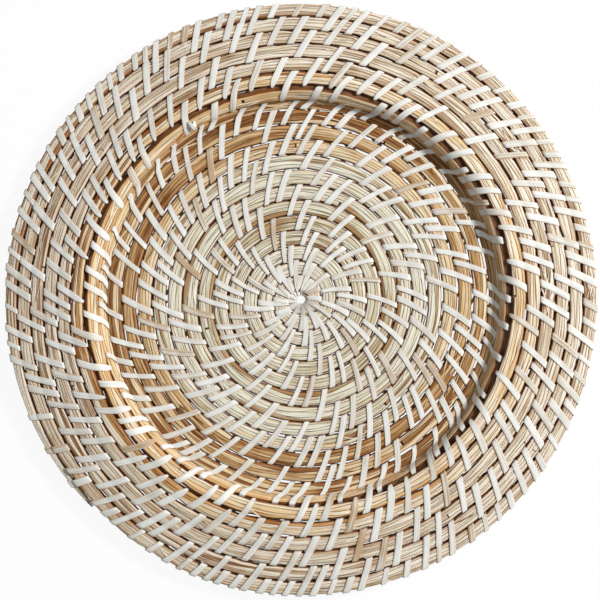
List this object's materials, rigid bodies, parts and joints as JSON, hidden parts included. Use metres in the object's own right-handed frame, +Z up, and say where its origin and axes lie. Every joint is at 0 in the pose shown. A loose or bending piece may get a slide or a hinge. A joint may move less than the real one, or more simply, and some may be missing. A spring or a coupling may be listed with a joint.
{
  "type": "charger plate",
  "caption": "Round coiled rattan charger plate: one spiral bundle of split cane laced with flat strips, with a flat well, a short wall and a falling rim.",
  "frame": {"origin": "centre of the plate on the table it stands on", "axes": "+Z up through the centre hole, +X to the right in the picture, +Y away from the viewer"},
  "size_m": [0.3278, 0.328, 0.0163],
  "materials": {
    "cane_cream": "split cane, matt, greenish cream with fine fibre lines",
    "cane_tan": "split cane, matt, tan with darker lines between the splints",
    "cane_golden": "split cane, matt, golden to orange brown on the wall",
    "cane_greige": "split cane, matt, pinkish beige with brown splints among it",
    "lacing": "peeled cane strip, smooth and slightly glossy, pale grey green white"
  },
  "bodies": {
    "root": {"core_centre": "cane_cream", "core_floor_inner": "cane_cream", "core_floor_middle": "cane_cream", "core_floor_outer": "cane_tan", "core_wall_foot": "cane_tan", "core_wall": "cane_golden", "core_crest": "cane_golden", "core_rim_inner": "cane_greige", "core_rim_middle": "cane_greige", "core_rim_outer": "cane_greige", "core_edge": "cane_greige", "lacing_turn_01": "lacing", "lacing_turn_02": "lacing", "lacing_turn_03": "lacing", "lacing_turn_04": "lacing", "lacing_turn_05": "lacing", "lacing_turn_06": "lacing", "lacing_turn_07": "lacing", "lacing_turn_08": "lacing", "lacing_turn_09": "lacing", "lacing_turn_10": "lacing", "lacing_turn_11": "lacing", "lacing_turn_12": "lacing", "lacing_turn_13": "lacing", "lacing_turn_14": "lacing", "lacing_turn_15": "lacing", "lacing_turn_16": "lacing", "lacing_turn_17": "lacing", "lacing_turn_18": "lacing", "lacing_turn_19": "lacing", "lacing_turn_20": "lacing", "edge_wraps": "lacing"}
  },
  "joints": []
}
